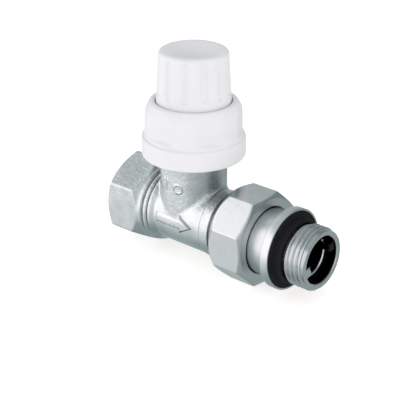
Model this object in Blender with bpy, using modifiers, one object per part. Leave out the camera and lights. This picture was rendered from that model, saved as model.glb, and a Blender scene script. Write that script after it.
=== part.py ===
"""Thermostatic radiator valve, straight pattern, with its hand-operated protective cap.

The origin is the centre of the inlet's mouth. +X is the pipe axis, along the flow to the radiator, and
+Z is up along the valve's spindle. Lengths are in millimetres until MM turns them into metres.
"""

import math

import bmesh
import bpy
from mathutils import Matrix

MM = 0.001
GAP = 0.3  # clearance between pieces that touch on the real valve

# Valve body
STEM_X = 28.0  # spindle axis, from the inlet's mouth
RUN_R = 11.3  # outside of the run
NECK_R = 11.2  # outside of the neck
NECK_TOP = 22.2
HEX_FLATS = 27.0  # inlet hexagon, across flats
HEX_LENGTH = 13.6
MOUTH_R = 12.9  # flat ring round the inlet's mouth
SOCKET_R = 9.6  # inlet socket, thread core
SOCKET_DEPTH = 13.0
CHANNEL_R = 5.0  # way under the seat
CHANNEL_Z = -3.8
SEAT_R = 5.0
SEAT_TOP = 3.5
CHAMBER_R = 9.0
CHAMBER_FLOOR = 2.2
OUTLET_R = 7.8
BODY_END = 54.6
UNION_THREAD_R = 13.1  # G 3/4 on the body's outlet
RELIEF_R, RELIEF_START = 9.9, 43.8  # groove behind that thread
ARROW_PROUD = 0.45

# Union nut and tailpiece
NUT_FLATS = 30.08  # eight-sided nut, across flats
NUT_REAR, NUT_FRONT = 47.0, 60.2
NUT_FLANGE = 3.2
NUT_TURN = 2.0  # degrees that the nut happens to be turned
BARREL_R = 11.1
BARREL_END = 67.2
COLLAR_R = 13.7
COLLAR_END = 70.3
NOSE_START, NOSE_END = 74.3, 81.7
NOSE_R = 10.4  # G 1/2 nose thread
NOSE_BORE_R = 7.95
TAIL_BORE_R = 6.8
KEY_DEPTH = 4.3
GASKET_R, GASKET_HOLE_R = 12.7, 9.75
GASKET_REAR, GASKET_END = 68.6, 70.7
SLEEVE_R, SLEEVE_END = 10.9, 73.0  # the gasket's lip along the nose

# Headwork, heights above the pipe axis
BONNET_FOOT = 12.3
BONNET_TOP = 30.9
HEAD_THREAD_R = 14.75  # M30 x 1.5
SPRING_ROOM_R = 6.4
SPRING_ROOM_TOP = 24.6
GLAND_ROOM_R = 4.6
GLAND_FLOOR = 26.2
STEM_R = 2.0
STEM_FOOT_R = 1.5
STEM_TIP = 37.3  # 14.8 above the head thread's foot when open, 11.8 when closed

# Cap
RING_R = 16.4
RING_BOTTOM = 21.9
RING_TOP = 41.0
FLANGE_R = 17.35
FLANGE_TOP = 28.9
KNOB_TOP = 57.9
KNOB_TOP_R = 11.5
KNOB_FOOT_R = 12.45
KNOB_FOOT = 36.9
BUTTON_FOOT = STEM_TIP + GAP
BUTTON_NECK_R = 2.6
FLUTES = 12
GRIP_FLATS = 6

BIG, MEDIUM, SMALL = 40, 28, 18  # steps of a full turn


def clear_scene():
    for old in list(bpy.data.objects):
        bpy.data.objects.remove(old, do_unlink=True)


def collection(name, hidden=False):
    made = bpy.data.collections.new(name)
    bpy.context.scene.collection.children.link(made)
    made.hide_render = hidden
    return made


def material(name, colour, roughness, metallic):
    made = bpy.data.materials.new(name)
    made.use_nodes = True
    shader = made.node_tree.nodes["Principled BSDF"]
    shader.inputs["Base Color"].default_value = (*colour, 1.0)
    shader.inputs["Roughness"].default_value = roughness
    shader.inputs["Metallic"].default_value = metallic
    return made


def nickel(name):
    return material(name, (0.62, 0.64, 0.64), 0.28, 1.0)


def brass(name):
    return material(name, (0.72, 0.55, 0.27), 0.35, 1.0)


def steel(name):
    return material(name, (0.56, 0.57, 0.58), 0.25, 1.0)


def white_plastic(name):
    return material(name, (0.86, 0.86, 0.87), 0.42, 0.0)


def black_rubber(name):
    return material(name, (0.02, 0.02, 0.02), 0.75, 0.0)


def add_object(name, mesh, paint=None, at=(0, 0, 0), along_x=False):
    """Links a node, or a cutter where there is no paint. along_x lays the mesh's Z along world X."""
    obj = bpy.data.objects.new(name, mesh)
    obj.location = [value * MM for value in at]
    if along_x:
        obj.rotation_euler = (0, math.pi / 2, 0)
    if paint is None:
        CUTTERS.objects.link(obj)
        obj.hide_render = True
        obj.display_type = "WIRE"
    else:
        VALVE.objects.link(obj)
        mesh.materials.append(paint)
    return obj


def finish_shading(obj):
    """Smooth shading that keeps the turned and milled edges sharp."""
    obj.data.shade_smooth()
    obj.data.set_sharp_from_angle(angle=math.radians(32))


def rounded(outline, steps=2):
    """Corners (r, z, radius) become arcs. A corner with no radius stays sharp."""
    points = []
    for i, corner in enumerate(outline):
        r, z = corner[:2]
        if len(corner) == 2:
            points.append((r, z))
            continue
        before, after = outline[i - 1], outline[(i + 1) % len(outline)]
        to_before = (before[0] - r, before[1] - z)
        to_after = (after[0] - r, after[1] - z)
        a, b = math.hypot(*to_before), math.hypot(*to_after)
        ua = (to_before[0] / a, to_before[1] / a)
        ub = (to_after[0] / b, to_after[1] / b)
        half = math.acos(max(-1, min(1, ua[0] * ub[0] + ua[1] * ub[1]))) / 2
        reach = corner[2] / math.tan(half)
        for step in range(steps + 1):
            # A quadratic curve between the two tangent points is close enough to a small arc.
            t = step / steps
            near, far = (1 - t) ** 2 * reach, t**2 * reach
            points.append((r + ua[0] * near + ub[0] * far, z + ua[1] * near + ub[1] * far))
    return points


def turned(name, outline, paint=None, steps=MEDIUM, closed=True, **placing):
    """A profile of (r, z) points, down its outer side, turned about Z. An open one ends on the axis."""
    mesh = bpy.data.meshes.new(name)
    points = rounded(outline)
    links = [(i, i + 1) for i in range(len(points) - 1)]
    if closed:
        links.append((len(points) - 1, 0))
    mesh.from_pydata([(r * MM, 0, z * MM) for r, z in points], links, [])
    obj = add_object(name, mesh, paint, **placing)
    screw = obj.modifiers.new("turn", "SCREW")
    screw.axis = "Z"
    screw.steps = screw.render_steps = steps
    screw.use_merge_vertices = True
    screw.merge_threshold = 0.00001
    screw.use_smooth_shade = True
    return obj


def prism(name, sides, across_flats, low, high, turn, paint=None, **placing):
    """A bar of regular section from low to high along Z, turned by so many degrees."""
    bar = bmesh.new()
    radius = across_flats / 2 / math.cos(math.pi / sides) * MM
    bmesh.ops.create_cone(
        bar, cap_ends=True, segments=sides, radius1=radius, radius2=radius, depth=(high - low) * MM
    )
    bar.transform(
        Matrix.Translation((0, 0, (low + high) / 2 * MM)) @ Matrix.Rotation(math.radians(turn), 4, "Z")
    )
    mesh = bpy.data.meshes.new(name)
    bar.to_mesh(mesh)
    bar.free()
    return add_object(name, mesh, paint, **placing)


def rod(name, radius, low, high, steps=MEDIUM, **placing):
    return turned(name, [(0, high), (radius, high), (radius, low), (0, low)], steps=steps, closed=False, **placing)


def box(name, size, centre, turn=0.0, reach=0.0):
    """A cutter block. Its centre stands reach out from the point given, in the direction of turn."""
    block = bmesh.new()
    bmesh.ops.create_cube(block, size=1)
    bmesh.ops.scale(block, vec=[value * MM for value in size], verts=block.verts)
    bmesh.ops.translate(block, vec=(reach * MM, 0, 0), verts=block.verts)
    mesh = bpy.data.meshes.new(name)
    block.to_mesh(mesh)
    block.free()
    obj = add_object(name, mesh, None, centre)
    obj.rotation_euler = (0, 0, math.radians(turn))
    return obj


def combine(obj, operation, other):
    boolean = obj.modifiers.new(f"{operation.lower()} {other.name}", "BOOLEAN")
    boolean.operation = operation
    boolean.solver = "EXACT"
    boolean.object = other


def o_ring(name, radius, thickness, z, paint, **placing):
    ring = [
        (radius + thickness * math.cos(angle), z + thickness * math.sin(angle))
        for angle in (math.tau * (0.5 - step / 6) for step in range(6))
    ]
    return turned(name, ring, paint, **placing)


# ---- Valve body ----------------------------------------------------------------------------------


def flow_arrow():
    """The arrow in relief on the front of the run: a plate on edge, trimmed to a shell of the run."""
    tail, neck, tip, half, barb = -6.2, 4.0, 8.3, 1.15, 2.5
    outline = [(tail, -half), (neck, -half), (neck, -barb), (tip, 0), (neck, barb), (neck, half), (tail, half)]
    curve = bpy.data.curves.new("arrow outline", "CURVE")
    curve.dimensions = "2D"
    curve.fill_mode = "BOTH"
    curve.extrude = 2 * MM
    spline = curve.splines.new("POLY")
    spline.points.add(len(outline) - 1)
    for point, (x, z) in zip(spline.points, outline):
        point.co = (x * MM, z * MM, 0, 1)
    spline.use_cyclic_u = True
    flat = bpy.data.objects.new("arrow outline", curve)
    flat.rotation_euler = (math.pi / 2, 0, 0)
    flat.location = (STEM_X * MM, -RUN_R * MM, 0.5 * MM)
    CUTTERS.objects.link(flat)
    bpy.context.view_layer.update()
    mesh = bpy.data.meshes.new_from_object(flat.evaluated_get(bpy.context.evaluated_depsgraph_get()))
    welded = bmesh.new()
    welded.from_mesh(mesh)
    bmesh.ops.remove_doubles(welded, verts=welded.verts, dist=0.00001)
    bmesh.ops.recalc_face_normals(welded, faces=welded.faces)
    welded.to_mesh(mesh)
    welded.free()
    plate = add_object("arrow plate", mesh)
    plate.matrix_world = flat.matrix_world.copy()
    bpy.data.objects.remove(flat)
    shell = rod("arrow shell", RUN_R + ARROW_PROUD, STEM_X - 9, STEM_X + 11, BIG, along_x=True)
    combine(plate, "INTERSECT", shell)
    return plate


def valve_body():
    run = [
        (0, BODY_END),
        (UNION_THREAD_R, BODY_END, 0.7),
        (UNION_THREAD_R, 49.2, 0.7),
        (RELIEF_R, 48.4),
        (RELIEF_R, RELIEF_START),
        (RUN_R + 0.25, RELIEF_START),
        (RUN_R + 0.25, STEM_X + 12.0),
        (RUN_R, STEM_X + 12.0),
        (RUN_R, 20.6, 2.5),
        (12.5, 18.0, 0.5),
        (12.1, 17.5),
        (12.9, 17.2, 0.5),
        (12.9, 15.9, 0.4),
        (12.1, 15.5),
        (13.2, 15.1, 0.6),
        (13.2, 12.8, 0.6),
        (MOUTH_R - 0.4, 12.2),
        (MOUTH_R - 0.4, 1.0),
        (0, 1.0),
    ]
    body = turned("valve_body", run, nickel("forged_nickel"), BIG, closed=False, along_x=True)

    hexagon = prism("inlet hexagon", 6, HEX_FLATS, 0, HEX_LENGTH, 30, along_x=True)
    corner_r = HEX_FLATS / 2 / math.cos(math.pi / 6)
    chamfers = [
        (0, HEX_LENGTH + 0.1),
        (13.2, HEX_LENGTH + 0.1),
        (corner_r + 0.1, 11.5),
        (corner_r + 0.1, 2.0),
        (MOUTH_R, 0),
        (0, 0),
    ]
    combine(hexagon, "INTERSECT", turned("hexagon chamfers", chamfers, None, BIG, closed=False, along_x=True))
    combine(body, "UNION", hexagon)
    combine(body, "UNION", rod("neck", NECK_R, 0, NECK_TOP, BIG, at=(STEM_X, 0, 0)))
    combine(body, "UNION", flow_arrow())

    socket = [
        (0, SOCKET_DEPTH + 1.5),
        (CHANNEL_R, SOCKET_DEPTH + 1.5),
        (SOCKET_R, SOCKET_DEPTH),
        (SOCKET_R, 0.9),
        (SOCKET_R + 1.2, -0.3),
        (SOCKET_R + 1.2, -1.5),
        (0, -1.5),
    ]
    combine(body, "DIFFERENCE", turned("inlet socket", socket, None, MEDIUM, closed=False, along_x=True))
    channel = rod("channel under the seat", CHANNEL_R, SOCKET_DEPTH - 1, STEM_X + 4.6, at=(0, 0, CHANNEL_Z), along_x=True)
    combine(body, "DIFFERENCE", channel)
    chamber = [
        (0, NECK_TOP + 1),
        (CHAMBER_R, NECK_TOP + 1),
        (CHAMBER_R, CHAMBER_FLOOR),
        (SEAT_R + 1.9, CHAMBER_FLOOR),
        (SEAT_R + 1.5, SEAT_TOP),
        (SEAT_R + 0.3, SEAT_TOP),
        (SEAT_R, SEAT_TOP - 0.3),
        (SEAT_R, CHANNEL_Z),
        (0, CHANNEL_Z),
    ]
    combine(body, "DIFFERENCE", turned("seat and chamber", chamber, None, MEDIUM, closed=False, at=(STEM_X, 0, 0)))
    outlet = [
        (0, BODY_END + 1),
        (11.0, BODY_END + 1),
        (11.0, BODY_END - 0.2),
        (OUTLET_R + 0.7, BODY_END - 2.7),
        (OUTLET_R, BODY_END - 2.7),
        (OUTLET_R, STEM_X + 6.3),
        (0, STEM_X + 6.3),
    ]
    combine(body, "DIFFERENCE", turned("outlet and cone", outlet, None, MEDIUM, closed=False, along_x=True))
    finish_shading(body)


# ---- Union nut, tailpiece and gasket ---------------------------------------------------------------


def union_nut():
    nut = prism("union_nut", 8, NUT_FLATS, NUT_REAR, NUT_FRONT, 22.5 + NUT_TURN, nickel("nut_nickel"), along_x=True)
    corner_r = NUT_FLATS / 2 / math.cos(math.pi / 8)
    inside_r = UNION_THREAD_R + 0.4
    envelope = [
        (14.3, NUT_FRONT),
        (corner_r + 0.1, NUT_FRONT - 1.3),
        (corner_r + 0.1, NUT_REAR + 2.35),
        (14.7, NUT_REAR),
        (inside_r, NUT_REAR),
        (inside_r, NUT_FRONT - NUT_FLANGE),
        (BARREL_R + 0.34, NUT_FRONT - NUT_FLANGE),
        (BARREL_R + 0.34, NUT_FRONT),
    ]
    combine(nut, "INTERSECT", turned("nut envelope", envelope, None, BIG, along_x=True))
    finish_shading(nut)


def tailpiece():
    cone_start = BODY_END - 2.0
    groove_r, ring_at = 10.2, 55.4
    outline = [
        (NOSE_R - 0.3, NOSE_END, 0.2),
        (NOSE_R, NOSE_END - 0.7),
        (NOSE_R, NOSE_START),
        (9.4, NOSE_START - 0.8),
        (9.4, GASKET_REAR - 0.3),
        (GASKET_R + 0.3, GASKET_REAR - 0.3),
        (GASKET_R + 0.3, COLLAR_END),
        (COLLAR_R, COLLAR_END, 0.3),
        (COLLAR_R, BARREL_END, 0.4),
        (BARREL_R, BARREL_END),
        (BARREL_R, ring_at + 1.6),
        (groove_r, ring_at + 1.6),
        (groove_r, ring_at),
        (10.7, ring_at),
        (10.7, BODY_END),
        (10.0, BODY_END - 0.7),
        (8.3, BODY_END - 0.7),
        (8.3, BODY_END - 1.7),
        (8.7, cone_start),
        (TAIL_BORE_R, cone_start),
        (TAIL_BORE_R, NOSE_END - KEY_DEPTH),
        (NOSE_BORE_R, NOSE_END - KEY_DEPTH),
        (NOSE_BORE_R, NOSE_END - 0.4),
        (NOSE_BORE_R + 0.3, NOSE_END),
    ]
    tail = turned("tailpiece", outline, nickel("tail_nickel"), BIG, along_x=True)
    for side in (0, 180):
        combine(tail, "UNION", key_lug(side))
    finish_shading(tail)

    turned(
        "tail_ring",
        [(12.8, 56.6), (12.8, 55.8), (groove_r + 0.2, 55.8), (groove_r + 0.2, 56.6)],
        steel("ring_steel"),
        MEDIUM,
        along_x=True,
    )
    o_ring("tail_cone_seal", 8.95, 0.36, BODY_END - 1.2, black_rubber("cone_rubber"), along_x=True)
    gasket = [
        (GASKET_R, GASKET_END, 0.3),
        (GASKET_R, GASKET_REAR),
        (GASKET_HOLE_R, GASKET_REAR),
        (GASKET_HOLE_R, SLEEVE_END),
        (SLEEVE_R - 0.4, SLEEVE_END),
        (SLEEVE_R, GASKET_END),
    ]
    turned("tail_gasket", gasket, black_rubber("gasket_rubber"), BIG, along_x=True)


def key_lug(side):
    """A lug in the tailpiece's bore that a fitting key turns it by."""
    width, inner_r, front, length, angle = 3.4, 5.8, NOSE_END - 0.8, 4.1, 108
    lug = box("key lug", (length, NOSE_BORE_R + 0.8 - inner_r, width), (0, 0, 0))
    middle = (inner_r + NOSE_BORE_R + 0.8) / 2
    spin = Matrix.Rotation(math.radians(angle + side), 4, "X")
    lift = Matrix.Rotation(math.pi / 2, 4, "X") @ Matrix.Translation((0, middle * MM, 0))
    lug.matrix_world = Matrix.Translation(((front - length / 2) * MM, 0, 0)) @ spin @ lift
    return lug


# ---- Headwork ------------------------------------------------------------------------------------


def bonnet():
    outline = [
        (5.8, BONNET_TOP + 1.1),
        (5.8, BONNET_TOP),
        (HEAD_THREAD_R, BONNET_TOP, 0.7),
        (HEAD_THREAD_R, NECK_TOP + GAP),
        (8.7, NECK_TOP + GAP),
        (8.7, 18.9),
        (7.4, 18.9),
        (7.4, 17.5),
        (8.7, 17.5),
        (8.7, BONNET_FOOT, 0.5),
        (SPRING_ROOM_R, BONNET_FOOT),
        (SPRING_ROOM_R, SPRING_ROOM_TOP),
        (STEM_R + GAP, SPRING_ROOM_TOP),
        (STEM_R + GAP, GLAND_FLOOR),
        (GLAND_ROOM_R, GLAND_FLOOR),
        (GLAND_ROOM_R, BONNET_TOP + 1.1),
    ]
    on_stem = {"at": (STEM_X, 0, 0)}
    finish_shading(turned("bonnet", outline, nickel("bonnet_nickel"), BIG, **on_stem))
    o_ring("bonnet_seal", 8.2, 0.42, 18.2, black_rubber("bonnet_rubber"), **on_stem)

    guide = [(6.1, 14.4), (6.1, 12.7), (STEM_R + GAP, 12.7), (STEM_R + GAP, 14.4)]
    turned("spring_guide", guide, brass("guide_brass"), SMALL, **on_stem)
    washer = [(4.3, 27.0), (4.3, 26.5), (STEM_R + GAP, 26.5), (STEM_R + GAP, 27.0)]
    turned("gland_washer", washer, brass("washer_brass"), SMALL, **on_stem)
    o_ring("stem_seal_lower", 3.3, 0.65, 28.0, black_rubber("seal_rubber_lower"), steps=SMALL, **on_stem)
    o_ring("stem_seal_upper", 3.3, 0.65, 29.7, black_rubber("seal_rubber_upper"), steps=SMALL, **on_stem)

    head = prism("gland_nut", 6, 9.0, 32.3, 33.4, 0, brass("gland_brass"), at=(STEM_X, 0, 0))
    shank = [(4.3, 32.5), (4.3, 30.7), (1.0, 30.7), (1.0, 32.5)]
    combine(head, "UNION", turned("gland shank", shank, None, SMALL, **on_stem))
    combine(head, "DIFFERENCE", rod("gland hole", STEM_R + GAP, 30, 34, SMALL, **on_stem))
    finish_shading(head)


def return_spring():
    """A round-wire compression spring with its end turns closed up, between the guide and the washer."""
    wire_r, coil_r, low, high, turns, points_a_turn = 0.45, 4.4, 14.7, 22.6, 6.0, 12
    curve = bpy.data.curves.new("return_spring", "CURVE")
    curve.dimensions = "3D"
    curve.bevel_depth = wire_r * MM
    curve.bevel_resolution = 2
    curve.use_fill_caps = True
    curve.materials.append(steel("spring_steel"))
    spline = curve.splines.new("POLY")
    count = int(turns * points_a_turn)
    spline.points.add(count)
    for i, point in enumerate(spline.points):
        turn = i / points_a_turn
        # The first and last turns lie flat, a little over a wire's thickness high.
        flat = 2.2 * wire_r
        rise = (high - low - 2 * wire_r - 2 * flat) / (turns - 2)
        height = flat * min(turn, 1) + rise * min(max(turn - 1, 0), turns - 2) + flat * max(turn - turns + 1, 0)
        angle = math.tau * turn
        point.co = (
            coil_r * math.cos(angle) * MM,
            coil_r * math.sin(angle) * MM,
            (low + wire_r + height) * MM,
            1,
        )
    spring = bpy.data.objects.new("return_spring", curve)
    spring.location = (STEM_X * MM, 0, 0)
    VALVE.objects.link(spring)


def stem():
    on_stem = {"at": (STEM_X, 0, 0)}
    outline = [
        (0, STEM_TIP),
        (STEM_R, STEM_TIP, 0.6),
        (STEM_R, 24.5),
        (1.6, 24.5),
        (1.6, 23.6),
        (STEM_R, 23.6),
        (STEM_R, 9.9),
        (STEM_FOOT_R, 9.9),
        (STEM_FOOT_R, 3.0, 0.3),
        (0, 3.0),
    ]
    finish_shading(turned("stem", outline, steel("stem_steel"), SMALL, closed=False, **on_stem))
    stop = [(5.6, 23.4), (5.6, 22.9), (STEM_R + GAP, 22.9), (STEM_R + GAP, 23.4)]
    turned("spring_washer", stop, steel("spring_washer_steel"), SMALL, **on_stem)
    clip = [(3.6, 24.3), (3.6, 23.8), (1.85, 23.8), (1.85, 24.3)]
    turned("stem_clip", clip, steel("clip_steel"), SMALL, **on_stem)

    bore = STEM_FOOT_R + GAP
    holder = [(7.9, 11.1, 0.4), (7.9, 7.6), (7.5, 7.6), (7.5, 9.6), (STEM_R + GAP, 9.6), (STEM_R + GAP, 11.1)]
    turned("disc_holder", holder, brass("holder_brass"), MEDIUM, **on_stem)
    washer = [(7.2, 9.3), (7.2, 6.8), (bore, 6.8), (bore, 9.3)]
    turned("seat_washer", washer, black_rubber("seat_rubber"), MEDIUM, **on_stem)
    retainer = [(4.3, 6.5), (4.3, 6.0), (bore, 6.0), (bore, 6.5)]
    turned("retaining_washer", retainer, steel("retainer_steel"), SMALL, **on_stem)
    nut = prism("disc_nut", 6, 6.0, 3.5, 5.7, 0, brass("disc_nut_brass"), at=(STEM_X, 0, 0))
    combine(nut, "DIFFERENCE", rod("disc nut hole", bore, 3, 6, SMALL, **on_stem))
    finish_shading(nut)


# ---- Cap -----------------------------------------------------------------------------------------


def cap_ring():
    thread_r = HEAD_THREAD_R + 0.35
    knob_room_r = KNOB_FOOT_R + GAP
    web_low, web_high, hub_r = BONNET_TOP + 0.4, BONNET_TOP + 2.3, 7.7
    outline = [
        (knob_room_r, RING_TOP, 0.4),
        (14.3, RING_TOP, 1.4),
        (16.1, 38.2, 3.2),
        (RING_R, 33.0),
        (RING_R + 0.05, FLANGE_TOP + 0.1),
        (FLANGE_R - 0.1, FLANGE_TOP - 0.3, 0.4),
        (FLANGE_R, RING_BOTTOM, 1.0),
        (thread_r + 0.5, RING_BOTTOM),
        (thread_r, RING_BOTTOM + 0.5),
        (thread_r, web_low),
        (hub_r, web_low),
        (hub_r, 40.0),
        (hub_r + 1.9, 40.0),
        (hub_r + 1.9, web_high),
        (knob_room_r, web_high),
    ]
    ring = turned("cap_ring", outline, white_plastic("ring_plastic"), BIG, at=(STEM_X, 0, 0))
    depth, width, low, high = 5.0, 14.0, 30.0, 44.0
    flat_at = RING_R * 0.9465
    for i in range(GRIP_FLATS):
        turn = 30 + i * 360 / GRIP_FLATS
        centre = (STEM_X, 0, (low + high) / 2)
        combine(ring, "DIFFERENCE", box("grip flat", (depth, width, high - low), centre, turn, flat_at + depth / 2))
    finish_shading(ring)


def cap_knob():
    wall, boss_r, boss_wall, boss_foot = 1.5, 7.4, 1.2, 34.9
    ceiling, floor_low, floor_high = KNOB_TOP - 2, BUTTON_FOOT + 1.5, BUTTON_FOOT + 3.5
    outline = [
        (0, KNOB_TOP),
        (KNOB_TOP_R, KNOB_TOP, 2.0),
        (KNOB_FOOT_R, KNOB_TOP - 17.0),
        (KNOB_FOOT_R, KNOB_FOOT),
        (KNOB_FOOT_R - wall, KNOB_FOOT),
        (KNOB_TOP_R - wall, ceiling),
        (boss_r, ceiling),
        (boss_r, boss_foot),
        (boss_r - boss_wall, boss_foot),
        (boss_r - boss_wall, floor_low),
        (BUTTON_NECK_R + GAP, floor_low),
        (BUTTON_NECK_R + GAP, floor_high),
        (boss_r - boss_wall, floor_high),
        (boss_r - boss_wall, ceiling),
        (0, ceiling),
    ]
    knob = turned("cap_knob", outline, white_plastic("knob_plastic"), BIG, closed=False, at=(STEM_X, 0, 0))
    flute_r, flute_depth, flute_low, flute_high = 1.7, 0.45, 43.4, 56.3
    taper = math.atan((KNOB_FOOT_R - KNOB_TOP_R) / 17.0)
    middle, half = (flute_low + flute_high) / 2, (flute_high - flute_low) / 2
    wall_r = KNOB_TOP_R + (KNOB_TOP - middle) * math.tan(taper)
    for i in range(FLUTES):
        turn = math.radians(-62 + i * 360 / FLUTES)
        reach = wall_r + flute_r - flute_depth
        place = (STEM_X + reach * math.cos(turn), reach * math.sin(turn), middle)
        outline = [(0, half), (flute_r * 0.7, half - 0.2), (flute_r, half - 0.9)]
        outline += [(flute_r, 1.2 - half), (flute_r * 0.6, 0.3 - half), (0, -half)]
        flute = turned("flute", outline, None, 12, closed=False, at=place)
        flute.rotation_euler = (0, -taper, turn)
        combine(knob, "DIFFERENCE", flute)
    finish_shading(knob)

    button = [
        (0, floor_high + 1.5),
        (BUTTON_NECK_R, floor_high + 1.5, 0.4),
        (BUTTON_NECK_R + 0.7, floor_high + 0.4),
        (BUTTON_NECK_R, floor_high + GAP),
        (BUTTON_NECK_R, floor_low - GAP),
        (5.8, floor_low - GAP),
        (5.8, BUTTON_FOOT, 0.4),
        (0, BUTTON_FOOT),
    ]
    turned("thrust_button", button, white_plastic("button_plastic"), SMALL, closed=False, at=(STEM_X, 0, 0))


clear_scene()
VALVE = collection("thermostatic_radiator_valve")
CUTTERS = collection("cutters", hidden=True)
valve_body()
union_nut()
tailpiece()
bonnet()
return_spring()
stem()
cap_ring()
cap_knob()
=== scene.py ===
"""A straight thermostatic radiator valve under its white hand cap, ready to be fitted.

The valve is put together in this order: forged body, headwork, spring and spindle, tailpiece and union
nut, cap base and knob. +X runs along the pipe to the radiator and +Z up along the spindle. Sizes are in
millimetres, and MM turns them into the scene's metres when a mesh or a finish is made.
"""

import math

import bmesh
import bpy
import numpy as np
from mathutils import Matrix, Vector


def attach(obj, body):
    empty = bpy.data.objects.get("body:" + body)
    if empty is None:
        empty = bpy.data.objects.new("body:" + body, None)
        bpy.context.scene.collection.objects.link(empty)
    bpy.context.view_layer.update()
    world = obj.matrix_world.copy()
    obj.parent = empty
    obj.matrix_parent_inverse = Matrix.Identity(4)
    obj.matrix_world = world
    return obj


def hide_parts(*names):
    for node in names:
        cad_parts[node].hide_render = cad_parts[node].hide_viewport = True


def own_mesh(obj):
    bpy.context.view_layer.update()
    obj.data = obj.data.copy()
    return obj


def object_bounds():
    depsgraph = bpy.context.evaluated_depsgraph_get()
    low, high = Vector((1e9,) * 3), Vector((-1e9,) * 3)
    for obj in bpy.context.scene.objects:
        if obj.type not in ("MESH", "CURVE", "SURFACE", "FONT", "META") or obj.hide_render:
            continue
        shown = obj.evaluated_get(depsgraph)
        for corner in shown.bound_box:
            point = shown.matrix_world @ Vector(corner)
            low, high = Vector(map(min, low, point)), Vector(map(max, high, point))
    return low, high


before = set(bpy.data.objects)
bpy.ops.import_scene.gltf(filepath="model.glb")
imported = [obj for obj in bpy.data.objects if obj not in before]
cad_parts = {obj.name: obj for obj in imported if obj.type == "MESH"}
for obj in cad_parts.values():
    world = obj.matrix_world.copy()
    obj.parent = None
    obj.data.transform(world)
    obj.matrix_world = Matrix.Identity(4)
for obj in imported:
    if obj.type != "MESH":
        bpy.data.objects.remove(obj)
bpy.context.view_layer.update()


# ---- Valve body ------------------------------------------------------------------------------------
# Hot-forged brass, nickel plated: inlet hexagon, two beads, the run with its flow arrow, and the neck.
# The skin is grown on a field of distances, then grooves, passages, seat and threads are cut into it.

MM = 0.001
STEM_X = 28.0
PIPE_PITCH = 1.814


class Shade:
    """One output of a node in a finish. Sums and products of shades add Math nodes to it."""

    def __init__(self, socket):
        self.socket = socket

    def node(self, kind, settings, inputs, output=0):
        """Adds any other node: its settings first, then the values or links of its sockets."""
        tree = self.socket.id_data
        made = tree.nodes.new("ShaderNode" + kind)
        for name, value in settings.items():
            setattr(made, name, value)
        for key, value in inputs.items():
            if isinstance(value, Shade):
                tree.links.new(value.socket, made.inputs[key])
            else:
                made.inputs[key].default_value = value
        return Shade(made.outputs[output])

    def __add__(self, other):
        return self.node("Math", {"operation": "ADD"}, {0: self, 1: other})

    __radd__ = __add__

    def __sub__(self, other):
        return self.node("Math", {"operation": "SUBTRACT"}, {0: self, 1: other})

    def __rsub__(self, other):
        return self.node("Math", {"operation": "SUBTRACT"}, {0: other, 1: self})

    def __mul__(self, other):
        return self.node("Math", {"operation": "MULTIPLY"}, {0: self, 1: other})

    __rmul__ = __mul__

    def ramp(self, low, high):
        """0 below low, 1 above high, and a smooth step between."""
        inputs = {"Value": self, "From Min": low, "From Max": high}
        return self.node("MapRange", {"interpolation_type": "SMOOTHSTEP"}, inputs)

    def tint(self, first, second):
        """The first colour where this is 0 and the second where it is 1."""
        inputs = {0: self, 6: (*first, 1), 7: (*second, 1)}
        return self.node("Mix", {"data_type": "RGBA"}, inputs, output=2)

    def grain(self, size, detail=2.0, stretch=(1, 1, 1)):
        """Random mottling of this place, from 0 to 1 and about size mm across, drawn out by stretch."""
        drawn = self.node("VectorMath", {"operation": "DIVIDE"}, {0: self, 1: stretch})
        return self.node("TexNoise", {}, {"Vector": drawn, "Scale": 1 / (size * MM), "Detail": detail})


def new_finish(name):
    """A material, and the place on its piece that every pattern is drawn from."""
    finish = bpy.data.materials.new(name)
    finish.use_nodes = True
    return finish, Shade(finish.node_tree.nodes.new("ShaderNodeTexCoord").outputs["Object"])


def lay(finish, varying, fixed, relief, depth):
    """Joins a finish's patterns to its shader. relief is pressed in as bumps up to depth mm deep."""
    shader = finish.node_tree.nodes["Principled BSDF"]
    for name, value in fixed.items():
        shader.inputs[name].default_value = value
    for name, value in varying.items():
        finish.node_tree.links.new(value.socket, shader.inputs[name])
    bump = relief.node("Bump", {}, {"Height": relief, "Strength": 1.0, "Distance": depth * MM})
    finish.node_tree.links.new(bump.socket, shader.inputs["Normal"])


def softened(outline, steps=0, chord=0.15):
    """Corners (r, h, radius) of a turned outline become arcs. A corner with no radius stays sharp."""
    points = []
    for i, (r, h, *radius) in enumerate(outline):
        here = np.array((r, h), float)
        if not radius:
            points.append(here)
            continue
        back = np.array(outline[i - 1][:2]) - here
        on = np.array(outline[(i + 1) % len(outline)][:2]) - here
        back, on = back / np.hypot(*back), on / np.hypot(*on)
        half = math.acos(np.clip(back @ on, -1, 1)) / 2
        bend = math.pi - 2 * half
        middle = here + (back + on) / np.hypot(*(back + on)) * radius[0] / math.sin(half)
        start = here + back * radius[0] / math.tan(half) - middle
        end = here + on * radius[0] / math.tan(half) - middle
        for t in np.linspace(0, 1, 1 + (steps or max(2, math.ceil(bend * radius[0] / chord)))):
            along = math.sin((1 - t) * bend) * start + math.sin(t * bend) * end
            points.append(middle + along / math.sin(bend))
    return np.array(points)


def even(count):
    return np.linspace(0, math.tau, count, endpoint=False)


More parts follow.
